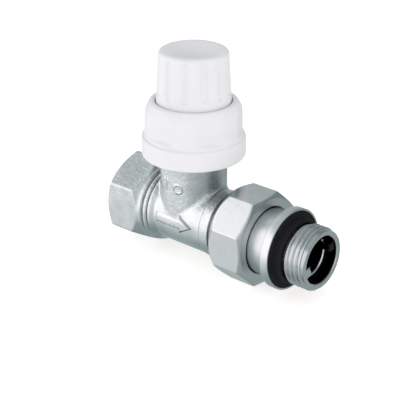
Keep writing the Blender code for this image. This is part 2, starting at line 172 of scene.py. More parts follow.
def sweep(name, outline, angles, shape=None, along_x=False, closed=True):
    """Turns an outline of (radius, height) corners round the spindle axis, or round the pipe axis.

    The outline is a list, or a function that gives one for each angle. shape(radius, height, angle) may
    return other radii, for threads and flutes. Angles run from +X towards +Y round the spindle, and from
    +Z towards -Y round the pipe. An outline that isn't closed starts and ends on the axis.
    """
    if callable(outline):
        rows = np.array([softened(outline(angle), steps=3) for angle in angles])
    else:
        points = softened(outline)
        rows = np.broadcast_to(points, (len(angles), *points.shape))
    radius, height = rows[..., 0], rows[..., 1]
    angle = np.broadcast_to(np.asarray(angles)[:, None], radius.shape)
    if shape:
        radius = shape(radius, height, angle)
    if along_x:
        points = np.stack([height, -radius * np.sin(angle), radius * np.cos(angle)], axis=-1)
    else:
        points = np.stack([STEM_X + radius * np.cos(angle), radius * np.sin(angle), height], axis=-1)
    corner = np.arange(radius.size).reshape(radius.shape)
    beside = np.roll(corner, -1, axis=0)
    faces = np.stack([corner, beside, np.roll(beside, -1, axis=1), np.roll(corner, -1, axis=1)], axis=-1)
    if not closed:
        faces = faces[:, :-1]
    mesh = bpy.data.meshes.new(name)
    mesh.from_pydata((points.reshape(-1, 3) * MM).tolist(), [], faces.reshape(-1, 4).tolist())
    weld(mesh)
    return mesh


def weld(mesh):
    """Joins points that coincide, such as those on the axis, and turns every face outwards."""
    work = bmesh.new()
    work.from_mesh(mesh)
    bmesh.ops.remove_doubles(work, verts=work.verts, dist=0.0005 * MM)
    bmesh.ops.recalc_face_normals(work, faces=work.faces)
    work.to_mesh(mesh)
    work.free()


def add_piece(name, mesh, finish, body, slot, *nodes, sharp=38.0):
    """Puts a finished piece on its body of the frame, in place of the plain solids that it stands for."""
    mesh.shade_smooth()
    mesh.set_sharp_from_angle(angle=math.radians(sharp))
    mesh.materials.clear()
    mesh.materials.append(finish)
    piece = bpy.data.objects.new(name, mesh)
    bpy.context.scene.collection.objects.link(piece)
    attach(piece, body)
    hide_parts(*nodes)
    return piece


def changed(mesh, kind, **settings):
    """The mesh after one modifier, such as a cut or an even remesh."""
    work = bpy.data.objects.new("work", mesh)
    bpy.context.scene.collection.objects.link(work)
    step = work.modifiers.new("step", kind)
    for name, value in settings.items():
        setattr(step, name, value)
    bpy.context.view_layer.update()
    done = bpy.data.meshes.new_from_object(work.evaluated_get(bpy.context.evaluated_depsgraph_get()))
    bpy.data.objects.remove(work)
    return done


def machined(mesh, operation, tool_mesh):
    """The mesh with a tool's shape cut from it or joined to it."""
    tool = bpy.data.objects.new("tool", tool_mesh)
    bpy.context.scene.collection.objects.link(tool)
    done = changed(mesh, "BOOLEAN", operation=operation, solver="MANIFOLD", object=tool)
    bpy.data.objects.remove(tool)
    return done


def soft_min(a, b, width):
    """The smaller of two, rounded where they cross. Used on distances it fillets an inside corner."""
    overlap = np.maximum(width - np.abs(a - b), 0)
    return np.minimum(a, b) - overlap**2 / (4 * width)


def soft_max(a, b, width):
    return -soft_min(-a, -b, width)


def smooth_step(value, low, high):
    t = np.clip((value - low) / (high - low), 0, 1)
    return t * t * (3 - 2 * t)


def rows_between(radius, low, high, step):
    return [(radius, h) for h in np.linspace(low, high, 1 + math.ceil(abs(high - low) / step))]


def thread(radius, height, angle, crest, pitch, depth, low, high):
    """Cuts a thread into the points at the crest radius. It runs out over half a turn at each end.

    A negative depth is an inside thread, cut outwards from its bore.
    """
    turn = (height / pitch - angle / math.tau) % 1
    flank = smooth_step(1 - np.abs(2 * turn - 1), 0.06, 0.94)
    run_in = smooth_step(height, low, low + pitch / 2)
    run_out = 1 - smooth_step(height, high - pitch / 2, high)
    return np.where(np.abs(radius - crest) < 0.001, radius - depth * flank * run_in * run_out, radius)


RUN_R = 11.3
NECK_R = 11.2
NECK_TOP = 22.2
UNION_STEP = 48.4
RELIEF_R = 9.9
RELIEF_START = 43.5
HEX_FLAT = 13.5
SHANK_R = 12.5
BEAD_R = 13.2
GROOVE_R = 12.3
SMALL_BEAD_R = 12.9
# The forging's turned outline along the pipe, from the hexagon's shank over the beads to the run.
RUN_OUTLINE = softened(
    [
        (SHANK_R, -3),
        (SHANK_R, 12.5, 0.3),
        (BEAD_R, 13.0, 0.5),
        (BEAD_R, 14.9, 0.6),
        (GROOVE_R, 15.5, 0.2),
        (SMALL_BEAD_R, 16.1, 0.35),
        (SMALL_BEAD_R, 16.9, 0.4),
        (GROOVE_R, 17.5, 0.2),
        (SHANK_R, 18.1, 0.3),
        (RUN_R, 20.0, 1.6),
        (RUN_R, 39.7),
        (RUN_R + 0.25, 40.3),
        (RUN_R + 0.25, 60),
    ]
)
ARROW_Z = 0.5


def arrow_block(grow):
    """The flow arrow as a block through the body's front, larger by grow.

    It widens from its outer end, y = -12.4, to its inner end, which is the draft of a forging's sides.
    """
    block = bmesh.new()
    ends = []
    for y, wider in ((-12.4, grow - 0.35), (-10.0, grow + 1.2)):
        tail = STEM_X - 6.2 - wider
        neck = STEM_X + 4.0 - wider
        tip = STEM_X + 7.9 + 1.5 * wider
        half = 1.0 + wider
        barb = 2.0 + 1.4 * wider
        upper = [(tail, half), (neck, half), (neck, barb), (tip, 0)]
        lower = [(x, -z) for x, z in upper[-2::-1]]
        ends.append([block.verts.new(Vector((x, y, z + ARROW_Z)) * MM) for x, z in upper + lower])
    block.faces.new(ends[0])
    block.faces.new(ends[1])
    for k in range(len(ends[0])):
        block.faces.new((ends[0][k - 1], ends[0][k], ends[1][k], ends[1][k - 1]))
    bmesh.ops.recalc_face_normals(block, faces=block.faces)
    mesh = bpy.data.meshes.new("arrow")
    block.to_mesh(mesh)
    block.free()
    return mesh


def arrow_part(operation, grow, radius):
    """The arrow's block within a radius of the pipe axis (INTERSECT), or beyond it (DIFFERENCE)."""
    core = [(0, 45), (radius, 45), (radius, 10), (0, 10)]
    core_mesh = sweep("core", core, even(256), along_x=True, closed=False)
    return machined(arrow_block(grow), operation, core_mesh)


def die_mark(x, y, z):
    """Distance from a plain forging mark on the neck's front: a small ring beside two short bars."""
    line = 0.26
    along = NECK_R * (np.arctan2(y, x - STEM_X) + math.radians(91))
    ring_line = np.abs(np.hypot(along - 2.7, z - 13.0) - 1.5) - line
    bars = np.maximum(np.abs(np.abs(along + 2.6) - 0.8) - line, np.abs(z - 13.8) - 1.8)
    return np.minimum(ring_line, bars)


def bevelled(block, pipe, x, radius, from_x, slope, width):
    """The block inside a cone that has a radius at from_x and widens by slope mm for each mm along +X."""
    cone = (pipe - radius - slope * (x - from_x)) / math.hypot(1, slope)
    return soft_max(block, cone, width)


def forging(points):
    """Distance, in mm, from the forged blank's skin, for an array of points. Inside it is negative."""
    x, y, z = points.T
    pipe = np.hypot(y, z)
    run = pipe - np.interp(x, RUN_OUTLINE[:, 1], RUN_OUTLINE[:, 0])
    block = np.full_like(x, -np.inf)
    for turn in math.tau * (np.arange(6) + 0.5) / 6:
        flat = y * math.sin(turn) + z * math.cos(turn) - HEX_FLAT
        block = soft_max(block, flat, 0.45)
    block = bevelled(block, pipe, x, radius=12.9, from_x=0, slope=1.395, width=0.3)
    block = bevelled(block, pipe, x, radius=15.6, from_x=11.5, slope=-1.132, width=0.5)
    skin = soft_max(soft_min(run, block, 0.7), -x, 0.3)
    neck = np.maximum(np.hypot(x - STEM_X, y) - NECK_R, -z)
    # The fillet round the neck's foot is tight at the front and widens into the crotch on either side.
    skin = soft_min(skin, neck, 0.5 + 1.7 * smooth_step(RUN_R - np.abs(y), 0.6, 7))
    skin = soft_max(skin, z - NECK_TOP, 0.3)
    skin = soft_max(skin, x - UNION_STEP - 0.4, 0.3)
    on_neck = smooth_step(-y, 4, 6) * smooth_step(z, 10.5, 11)
    raised = 0.35 * (1 - smooth_step(die_mark(x, y, z), -0.2, 0.2)) * on_neck
    return skin - raised


def blank():
    """Rough solids of the hexagon, run and neck in one mesh, for the forging's skin to grow on."""
    rough = bmesh.new()
    run = [(0, UNION_STEP + 0.4), (11.6, UNION_STEP + 0.4), (11.6, 18), (12.8, 17), (12.8, 0), (0, 0)]
    corner = HEX_FLAT / math.cos(math.pi / 6)
    block = [(0, 12.6), (corner, 12.0), (corner, 1.0), (12.9, 0), (0, 0)]
    neck = [(0, NECK_TOP), (NECK_R, NECK_TOP), (NECK_R, 0), (0, 0)]
    rough.from_mesh(sweep("run", run, even(64), along_x=True, closed=False))
    rough.from_mesh(sweep("block", block, even(6), along_x=True, closed=False))
    rough.from_mesh(sweep("neck", neck, even(64), closed=False))
    mesh = bpy.data.meshes.new("blank")
    rough.to_mesh(mesh)
    rough.free()
    return mesh


def grown(mesh, field, cell, rounds=6):
    """Remeshes a rough solid evenly, then slides every point along the field's slope onto its skin."""
    mesh = changed(mesh, "REMESH", mode="VOXEL", voxel_size=cell * MM)
    points = np.empty(len(mesh.vertices) * 3)
    mesh.vertices.foreach_get("co", points)
    points = points.reshape(-1, 3) / MM
    reach = 0.02
    for _ in range(rounds):
        slope = np.empty_like(points)
        for axis in range(3):
            step = np.zeros(3)
            step[axis] = reach
            slope[:, axis] = (field(points + step) - field(points - step)) / (2 * reach)
        steep = np.maximum((slope**2).sum(axis=1), 0.3)
        points -= slope * np.clip(field(points) / steep, -0.3, 0.3)[:, None]
    mesh.vertices.foreach_set("co", (points * MM).ravel())
    mesh.update()
    return mesh


SOCKET_R = 9.6
SOCKET_DEPTH = 13.0
CHANNEL_R = 5.0
CHANNEL_Z = -3.8
CHAMBER_R = 9.0
OUTLET_R = 7.8
BODY_END = 54.6
UNION_THREAD_R = 13.1


def socket_thread(radius, height, angle):
    return thread(radius, height, angle, SOCKET_R, PIPE_PITCH, -0.85, -0.5, SOCKET_DEPTH - 1)


def union_thread(radius, height, angle):
    return thread(radius, height, angle, UNION_THREAD_R, PIPE_PITCH, 1.0, 48.8, BODY_END + 0.5)


union_end = [
    (0, BODY_END),
    (12.4, BODY_END),
    *rows_between(UNION_THREAD_R, BODY_END - 0.7, 49.3, 0.12),
    (RELIEF_R, UNION_STEP),
    (0, UNION_STEP),
]
socket = [
    (0, 14.5),
    (CHANNEL_R, 14.5),
    (SOCKET_R, SOCKET_DEPTH),
    *rows_between(SOCKET_R, SOCKET_DEPTH - 1, 0.9, 0.12),
    (10.9, -0.4),
    (10.9, -2),
    (0, -2),
]
channel = [(0, 32.6), (CHANNEL_R, 32.6), (CHANNEL_R, 12), (0, 12)]
chamber = [
    (0, NECK_TOP + 1),
    (CHAMBER_R + 0.5, NECK_TOP + 1),
    (CHAMBER_R + 0.5, NECK_TOP),
    (CHAMBER_R, NECK_TOP - 0.5),
    (CHAMBER_R, 2.2, 0.6),
    (6.9, 2.2),
    (6.5, 3.5, 0.15),
    (5.3, 3.5, 0.15),
    (5.0, 3.2),
    (5.0, CHANNEL_Z),
    (0, CHANNEL_Z),
]
outlet = [
    (0, BODY_END + 1),
    (11.0, BODY_END + 1),
    (11.0, BODY_END - 0.2),
    (OUTLET_R + 0.7, BODY_END - 2.7),
    (OUTLET_R, BODY_END - 2.7),
    (OUTLET_R, STEM_X + 6.3),
    (0, STEM_X + 6.3),
]
channel_tool = sweep("channel", channel, even(64), along_x=True, closed=False)
channel_tool.transform(Matrix.Translation((0, 0, CHANNEL_Z * MM)))
# Lathe cuts: a groove on each side of the small bead, a line round the run, and the relief behind the
# union thread. Each has its start and end along the pipe, and the radius of its floor.
turned_grooves = [
    (15.2, 15.85, 11.7),
    (17.3, 17.75, 11.7),
    (39.75, 40.0, RUN_R - 0.12),
    (RELIEF_START, UNION_STEP + 0.6, RELIEF_R),
]
body_mesh = grown(blank(), forging, 0.26)
for low, high, floor_r in turned_grooves:
    groove = [(16, high + 0.1), (floor_r, high, 0.05), (floor_r, low, 0.05), (16, low - 0.1)]
    body_mesh = machined(body_mesh, "DIFFERENCE", sweep("groove", groove, even(192), along_x=True))
body_mesh = machined(body_mesh, "DIFFERENCE", arrow_part("DIFFERENCE", 0.3, RUN_R - 0.3))
body_mesh = machined(body_mesh, "UNION", arrow_part("INTERSECT", 0.0, RUN_R + 0.6))
union_end_mesh = sweep("union end", union_end, even(128), union_thread, along_x=True, closed=False)
body_mesh = machined(body_mesh, "UNION", union_end_mesh)
for tool_mesh in (
    sweep("socket", socket, even(128), socket_thread, along_x=True, closed=False),
    channel_tool,
    sweep("chamber", chamber, even(96), closed=False),
    sweep("outlet", outlet, even(96), along_x=True, closed=False),
):
    body_mesh = machined(body_mesh, "DIFFERENCE", tool_mesh)

# Nickel over the blasted skin of a forging. The grain is shallower on the underside.
forged_nickel, place = new_finish("forged_nickel")
fine = place.grain(0.42, 3.0)
coarse = place.grain(1.3, 2.0)
patches = place.grain(7.0, 2.0).ramp(0.35, 0.7)
upper = place.node("SeparateXYZ", {}, {0: place}, output=2).ramp(-2 * MM, 7 * MM)
lay(
    forged_nickel,
    {
        "Base Color": (fine * 0.4 + patches * 0.6).tint((0.56, 0.59, 0.595), (0.73, 0.75, 0.755)),
        "Roughness": 0.12 + 0.12 * coarse + 0.12 * fine,
    },
    {"Metallic": 1.0},
    (fine * 0.9 + coarse * 0.9) * (0.2 + 0.8 * upper),
    0.16,
)
add_piece("forged_body", body_mesh, forged_nickel, "valve", "forged_nickel", "valve_body", sharp=50.0)


# ---- Headwork --------------------------------------------------------------------------------------
# Turned, nickel-plated brass insert, screwed into the neck: it carries the M30 x 1.5 head thread that
# the cap is screwed on, and seals the spindle with two O-rings under a small gland nut.

HEAD_THREAD_R = 14.75
HEAD_PITCH = 1.5
GAP = 0.3
STEM_R = 2.0
BONNET_TOP = 30.9
BONNET_FOOT = 12.3
BOSS_R = 5.8
BOSS_TOP = 32.0
PLUG_R = 8.7
O_RING_GROOVE_R = 7.4
SPRING_ROOM_R = 6.4
SPRING_ROOM_TOP = 24.6
GLAND_ROOM_R = 4.6
GLAND_ROOM_FOOT = 26.2


def head_thread(radius, height, angle):
    ends = NECK_TOP - 0.2, BONNET_TOP + 0.3
    return thread(radius, height, angle, HEAD_THREAD_R, HEAD_PITCH, 0.85, *ends)


bonnet = [
    (BOSS_R, BOSS_TOP, 0.2),
    (BOSS_R, BONNET_TOP),
    (HEAD_THREAD_R - 0.85, BONNET_TOP),
    *rows_between(HEAD_THREAD_R, BONNET_TOP - 0.7, NECK_TOP + 1.0, 0.1),
    (HEAD_THREAD_R - 0.75, NECK_TOP + GAP),
    (PLUG_R, NECK_TOP + GAP),
    (PLUG_R, 18.9),
    (O_RING_GROOVE_R, 18.9, 0.1),
    (O_RING_GROOVE_R, 17.5, 0.1),
    (PLUG_R, 17.5),
    (PLUG_R, BONNET_FOOT, 0.5),
    (SPRING_ROOM_R, BONNET_FOOT),
    (SPRING_ROOM_R, SPRING_ROOM_TOP),
    (STEM_R + GAP, SPRING_ROOM_TOP),
    (STEM_R + GAP, GLAND_ROOM_FOOT),
    (GLAND_ROOM_R, GLAND_ROOM_FOOT),
    (GLAND_ROOM_R, BOSS_TOP),
]

# The headwork and the tailpiece share one finish. It also follows the tailpiece's nose, whose sizes are
# here for that: the bore is coloured near black as painted shade, apart from the edge of the step in it
# and the lower lug, which keep the plating's colour, and the thread is smoother than the rest.
NOSE_START = 74.2
NOSE_END = 81.7
NOSE_BORE_R = 7.95
TAIL_BORE_R = 6.8
KEY_DEPTH = 4.3
STEP_X = NOSE_END - KEY_DEPTH
turned_nickel, place = new_finish("turned_nickel")
rings = place.grain(0.10, 2.0, stretch=(1, 60, 60))
cloud = place.grain(6.0, 3.0)
specks = place.grain(0.5, 2.0).ramp(0.62, 0.75)
from_axis = place.node("VectorMath", {"operation": "MULTIPLY"}, {0: place, 1: (0, 1, 1)})
from_axis = place.node("VectorMath", {"operation": "LENGTH"}, {0: from_axis}, output=1)
along_pipe = place.node("SeparateXYZ", {}, {0: place}, output=0)
lower = 1 - place.node("SeparateXYZ", {}, {0: place}, output=2).ramp(0, 0.5 * MM)
in_bore = 1 - from_axis.ramp((NOSE_BORE_R + 0.05) * MM, (NOSE_BORE_R + 0.2) * MM)
threaded = along_pipe.ramp((NOSE_START - 1.0) * MM, (NOSE_START - 0.2) * MM)
past_step = along_pipe.ramp((STEP_X + 0.1) * MM, (STEP_X + 0.2) * MM)
step_edge = along_pipe.ramp((STEP_X - 0.45) * MM, (STEP_X - 0.35) * MM)
step_edge = step_edge * (1 - from_axis.ramp((TAIL_BORE_R + 0.35) * MM, (TAIL_BORE_R + 0.45) * MM))
on_lug = past_step * lower * (1 - from_axis.ramp((NOSE_BORE_R - 0.2) * MM, (NOSE_BORE_R - 0.15) * MM))
unshaded = step_edge * (1 - past_step) + on_lug
plating = (cloud * 0.6 + rings * 0.4).tint((0.60, 0.625, 0.63), (0.74, 0.75, 0.76))
# Painted shade: inside the nose's bore the base colour is near black, except on the step's edge and the
# lower lug.
painted_bore_shade = {0: in_bore * (1 - unshaded), 6: plating, 7: (0.03, 0.03, 0.03, 1)}
lay(
    turned_nickel,
    {
        "Base Color": place.node("Mix", {"data_type": "RGBA"}, painted_bore_shade, output=2),
        "Roughness": 0.19 + 0.12 * cloud + 0.10 * rings + 0.1 * specks - 0.18 * threaded,
    },
    {"Metallic": 1.0},
    rings + cloud,
    0.010,
)
turned_brass, place = new_finish("turned_brass")
fine = place.grain(0.12, 2.0, stretch=(14, 14, 1))
cloud = place.grain(5.0)
lay(
    turned_brass,
    {
        "Base Color": cloud.tint((0.80, 0.61, 0.30), (0.70, 0.51, 0.23)),
        "Roughness": 0.22 + 0.18 * cloud,
    },
    {"Metallic": 1.0},
    fine,
    0.008,
)
insert_mesh = sweep("bonnet", bonnet, even(144), head_thread)
add_piece("head_insert", insert_mesh, turned_nickel, "valve", "machined_nickel", "bonnet")


def ring(inner, outer, low, high, edge=0.12):
    """The outline of a flat washer or disc with its corners broken."""
    return [(outer, high, edge), (outer, low, edge), (inner, low, edge), (inner, high, edge)]


def o_ring(name, radius, cord_r, height, body, node, along_x=False):
    outline = [(radius + cord_r * math.cos(t), height + cord_r * math.sin(t)) for t in even(20)]
    mesh = sweep(name, outline, even(72), along_x=along_x)
    add_piece(name, mesh, seal_rubber, body, "black_rubber", node)


seal_rubber, place = new_finish("seal_rubber")
fine = place.grain(0.18, 3.0)
bloom = place.grain(4.0).ramp(0.3, 0.8)
lay(
    seal_rubber,
    {
        "Base Color": bloom.tint((0.006, 0.006, 0.007), (0.011, 0.011, 0.012)),
        "Roughness": 0.62 + 0.2 * bloom,
    },
    {"Specular IOR Level": 0.2},
    fine,
    0.012,
)
o_ring("insert_o_ring", 8.2, 0.42, 18.2, "valve", "bonnet_seal")
o_ring("spindle_o_ring_lower", 3.3, 0.65, 28.0, "valve", "stem_seal_lower")
o_ring("spindle_o_ring_upper", 3.3, 0.65, 29.7, "valve", "stem_seal_upper")


def hexagon_with_shank(flat, low, high, shank_r, shank_low, hole_r, edge=0.25):
    """The outline of a small nut at any angle: a hexagon from low to high, chamfered on top, with a hole.

    flat is half the hexagon's width across flats. A round shank reaches down from it to shank_low.
    """

    def outline(angle):
        off = (angle + math.pi / 6) % (math.pi / 3) - math.pi / 6
        corner = min(flat / math.cos(off), flat / math.cos(math.pi / 6) - 0.05)
        chamfer_at = high - (corner - flat + 0.1) * 0.6
        return [
            (hole_r, high),
            (flat - 0.1, high),
            (corner, chamfer_at),
            (corner, low),
            (shank_r, low),
            (shank_r, shank_low, edge),
            (hole_r, shank_low),
        ]

    return outline


def corners_of(sides, first=0.0):
    """Angles round a regular section, closer together near its edges. first is the middle of a flat."""
    sector = math.tau / sides
    spread = np.array([0.006, 0.018, 0.035, 0.07, 0.14, 0.25, 0.37, 0.5]) * sector
    spread = np.concatenate([-spread[:-1][::-1], [0], spread])
    return np.sort(np.concatenate([first + sector * (i + 0.5) + spread for i in range(sides)]) % math.tau)


gland_outline = hexagon_with_shank(4.5, 32.3, 33.4, 4.3, 30.7, STEM_R + GAP)
gland_mesh = sweep("gland", gland_outline, corners_of(6))
add_piece("gland_screw", gland_mesh, turned_brass, "valve", "plain_brass", "gland_nut")
for name, inner, outer, low, high, node in (
    ("gland_disc", STEM_R + GAP, 4.3, 26.5, 27.0, "gland_washer"),
    ("spring_seat", STEM_R + GAP, 6.1, 12.7, 14.4, "spring_guide"),
):
    washer_mesh = sweep(name, ring(inner, outer, low, high), even(64))
    add_piece(name, washer_mesh, turned_brass, "valve", "plain_brass", node)


# ---- Return spring ---------------------------------------------------------------------------------
# Round spring-steel wire, six turns with the end ones closed up. It stands on the brass seat and
# holds the spindle up. It shortens as the spindle goes down.

WIRE_R = 0.45
COIL_R = 4.4
SPRING_LOW = 14.7
SPRING_HIGH = 22.6
TURNS = 6


def wire_centre(turn):
    """Where the wire's middle is after so many turns from the bottom. The end turns are closed up."""
    closed_pitch = 2.2 * WIRE_R
    open_pitch = (SPRING_HIGH - SPRING_LOW - 2 * WIRE_R - 2 * closed_pitch) / (TURNS - 2)
    closed_turns = min(turn, 1) + max(turn - TURNS + 1, 0)
    open_turns = min(max(turn - 1, 0), TURNS - 2)
    height = SPRING_LOW + WIRE_R + closed_pitch * closed_turns + open_pitch * open_turns
    angle = math.tau * turn
    return Vector((STEM_X + COIL_R * math.cos(angle), COIL_R * math.sin(angle), height))


def coil_mesh(points_a_turn=40, sides=12):
    wire = bmesh.new()
    count = TURNS * points_a_turn
    loops = []
    for i in range(count + 1):
        middle = wire_centre(i / points_a_turn)
        before = wire_centre(max(i - 1, 0) / points_a_turn)
        after = wire_centre(min(i + 1, count) / points_a_turn)
        outwards = Vector((middle.x - STEM_X, middle.y, 0)).normalized()
        upwards = (after - before).normalized().cross(outwards)
        loop = []
        for t in even(sides):
            round_wire = math.cos(t) * outwards + math.sin(t) * upwards
            loop.append(wire.verts.new((middle + WIRE_R * round_wire) * MM))
        loops.append(loop)
    for one, two in zip(loops, loops[1:]):
        for k in range(sides):
            wire.faces.new((one[k], one[(k + 1) % sides], two[(k + 1) % sides], two[k]))
    wire.faces.new(loops[0])
    wire.faces.new(loops[-1])
    mesh = bpy.data.meshes.new("coil")
    wire.to_mesh(mesh)
    wire.free()
    weld(mesh)
    return mesh


bright_steel, place = new_finish("bright_steel")
drawn = place.grain(0.2, 2.0, stretch=(1, 1, 6))
lay(
    bright_steel,
    {
        "Base Color": drawn.tint((0.55, 0.56, 0.58), (0.68, 0.69, 0.70)),
        "Roughness": 0.18 + 0.14 * drawn,
    },
    {"Metallic": 1.0},
    drawn,
    0.006,
)
spring = add_piece("coil_spring", coil_mesh(), bright_steel, "valve", "spring_steel", "return_spring")
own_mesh(spring)


# ---- Spindle ---------------------------------------------------------------------------------------
# A ground stainless pin with a clip and washer for the spring, and the brass disc holder at its foot,
# whose rubber seat washer is held by a thin steel washer and a brass nut.

STEM_TIP = 37.3
CLIP_GROOVE_LOW = 23.6
CLIP_GROOVE_HIGH = 24.5
CLIP_GROOVE_R = 1.6
PIN_SHOULDER = 9.9
PIN_FOOT = 3.0
PIN_FOOT_R = 1.5
FOOT_HOLE_R = PIN_FOOT_R + GAP
CUP_R = 7.9
CUP_BORE_R = 7.5
CUP_TOP = 11.1
CUP_CEILING = 9.6
CUP_RIM = 7.6
pin = [
    (0, STEM_TIP),
    (STEM_R, STEM_TIP, 0.6),
    (STEM_R, CLIP_GROOVE_HIGH),
    (CLIP_GROOVE_R, CLIP_GROOVE_HIGH),
    (CLIP_GROOVE_R, CLIP_GROOVE_LOW),
    (STEM_R, CLIP_GROOVE_LOW),
    (STEM_R, PIN_SHOULDER),
    (PIN_FOOT_R, PIN_SHOULDER),
    (PIN_FOOT_R, PIN_FOOT, 0.3),
    (0, PIN_FOOT),
]
disc_cup = [
    (CUP_R, CUP_TOP, 0.4),
    (CUP_R, CUP_RIM, 0.15),
    (CUP_BORE_R, CUP_RIM),
    (CUP_BORE_R, CUP_CEILING),
    (STEM_R + GAP, CUP_CEILING),
    (STEM_R + GAP, CUP_TOP),
]
pin_mesh = sweep("pin", pin, even(48), closed=False)
add_piece("spindle_pin", pin_mesh, bright_steel, "spindle", "stainless_steel", "stem")
for name, outline, finish, slot, node in (
    ("spring_cup", ring(STEM_R + GAP, 5.6, 22.9, 23.4), bright_steel, "stainless_steel", "spring_washer"),
    ("spindle_clip", ring(1.85, 3.6, 23.8, 24.3), bright_steel, "spring_steel", "stem_clip"),
    ("disc_cup", disc_cup, turned_brass, "plain_brass", "disc_holder"),
    ("seat_disc", ring(FOOT_HOLE_R, 7.2, 6.8, 9.3, 0.3), seal_rubber, "black_rubber", "seat_washer"),
    ("disc_washer", ring(FOOT_HOLE_R, 4.3, 6.0, 6.5), bright_steel, "stainless_steel", "retaining_washer"),
):
    add_piece(name, sweep(name, outline, even(72)), finish, "spindle", slot, node)
screw_outline = hexagon_with_shank(3.0, 3.7, 5.7, 2.9, 3.5, FOOT_HOLE_R, edge=0.05)
screw_mesh = sweep("disc screw", screw_outline, corners_of(6))
add_piece("disc_screw", screw_mesh, turned_brass, "spindle", "plain_brass", "disc_nut")


# ---- Tailpiece -------------------------------------------------------------------------------------
# Turned and nickel-plated brass: a coned foot that the union nut draws against the body, a barrel, a
# collar with its gasket, and the G 1/2 nose for the radiator, with two lugs inside for a fitting key.

NOSE_R = 10.45
NOSE_ROOT = 9.35
BARREL_R = 11.1
BARREL_END = 67.2
COLLAR_R = 13.7
COLLAR_END = 70.3
RECESS_R = 13.0
RECESS_FLOOR = 68.3
TAIL_FOOT_R = 10.7
SNAP_GROOVE_R = 10.2
SNAP_GROOVE_START = 55.4
SNAP_GROOVE_END = 57.0
CONE_GROOVE_R = 8.3
CONE_START = BODY_END - 2.0
LUG_TURN = 108


def nose_thread(radius, height, angle):
    ends = NOSE_START - 0.5, NOSE_END + 0.7
    return thread(radius, height, angle, NOSE_R, PIPE_PITCH, 1.4, *ends)


tail = [
    (NOSE_R - 0.75, NOSE_END, 0.15),
    *rows_between(NOSE_R, NOSE_END - 0.65, NOSE_START + 0.5, 0.07),
    (NOSE_ROOT, NOSE_START - 0.5),
    (NOSE_ROOT, RECESS_FLOOR),
    (RECESS_R, RECESS_FLOOR),
    (RECESS_R, COLLAR_END, 0.15),
    (COLLAR_R, COLLAR_END, 0.3),
    (COLLAR_R, BARREL_END, 0.4),
    (BARREL_R, BARREL_END, 0.35),
    (BARREL_R, SNAP_GROOVE_END),
    (SNAP_GROOVE_R, SNAP_GROOVE_END),
    (SNAP_GROOVE_R, SNAP_GROOVE_START),
    (TAIL_FOOT_R, SNAP_GROOVE_START),
    (TAIL_FOOT_R, BODY_END),
    (TAIL_FOOT_R - 0.7, BODY_END - 0.7),
    (CONE_GROOVE_R, BODY_END - 0.7),
    (CONE_GROOVE_R, BODY_END - 1.7),
    (CONE_GROOVE_R + 0.4, CONE_START),
    (TAIL_BORE_R, CONE_START),
    (TAIL_BORE_R, STEP_X - 0.35),
    (TAIL_BORE_R + 0.35, STEP_X),
    (NOSE_BORE_R, STEP_X),
    (NOSE_BORE_R, NOSE_END - 0.4),
    (NOSE_BORE_R + 0.4, NOSE_END, 0.1),
]


def key_lug(side):
    """A rounded lug standing in from the bore's wall, behind the nose's end and narrower at its tip."""
    turn = math.radians(LUG_TURN + side)
    lug = bmesh.new()
    bmesh.ops.create_cube(lug, size=1)
    for corner in lug.verts:
        at_wall = corner.co.z > 0
        reach = NOSE_BORE_R + 0.8 if at_wall else 5.5
        across = math.copysign(1.7 if at_wall else 1.462, corner.co.y)
        along = NOSE_END - (0.8 if corner.co.x > 0 else 4.9)
        up = reach * math.cos(turn) + across * math.sin(turn)
        out = -reach * math.sin(turn) + across * math.cos(turn)
        corner.co = Vector((along, out, up)) * MM
    bmesh.ops.bevel(lug, geom=lug.edges[:], offset=0.3 * MM, segments=3, profile=0.5, affect="EDGES")
    bmesh.ops.recalc_face_normals(lug, faces=lug.faces)
    mesh = bpy.data.meshes.new("key lug")
    lug.to_mesh(mesh)
    lug.free()
    return mesh


tail_mesh = sweep("tail", tail, even(160), nose_thread, along_x=True)
for side in (0, 180):
    tail_mesh = machined(tail_mesh, "UNION", key_lug(side))
add_piece("nose_and_collar", tail_mesh, turned_nickel, "tail", "machined_nickel", "tailpiece")
snap_outline = ring(SNAP_GROOVE_R + 0.2, 12.8, SNAP_GROOVE_START + 0.4, SNAP_GROOVE_END - 0.4)
snap_mesh = sweep("snap ring", snap_outline, even(96), along_x=True)
add_piece("snap_ring", snap_mesh, bright_steel, "tail", "spring_steel", "tail_ring")
o_ring("cone_o_ring", 8.95, 0.36, BODY_END - 1.2, "tail", "tail_cone_seal", along_x=True)
GASKET_R = RECESS_R - 0.1
GASKET_REAR = RECESS_FLOOR + 0.3
GASKET_FRONT = 70.7
LIP_END = 73.2
LIP_BORE_R = 9.75
gasket = [
    (GASKET_R, GASKET_FRONT, 0.35),
    (GASKET_R, GASKET_REAR),
    (LIP_BORE_R, GASKET_REAR),
    (LIP_BORE_R, LIP_END, 0.2),
    (10.75, LIP_END, 0.4),
    (10.9, GASKET_FRONT, 0.4),
]
gasket_mesh = sweep("gasket", gasket, even(128), along_x=True)
add_piece("seat_gasket", gasket_mesh, seal_rubber, "tail", "black_rubber", "tail_gasket")


# ---- Union nut -------------------------------------------------------------------------------------
# Eight-sided nickel-plated brass nut, milled from bar and chamfered on both faces. It turns freely on
# the barrel behind a snap ring, and screws on the body's union thread.

NUT_FLAT = 15.04
NUT_REAR = 47.0
NUT_FRONT = 60.2
NUT_TURN = math.radians(2)
NUT_CORNER = NUT_FLAT / math.cos(math.pi / 8) + 0.1
NUT_BORE = UNION_THREAD_R + 0.4
NUT_THREAD_END = 56.0
NUT_SHOULDER = 57.0
FRONT_FACE_R = 14.3
REAR_FACE_R = 14.7
SLIDE_R = BARREL_R + 0.34


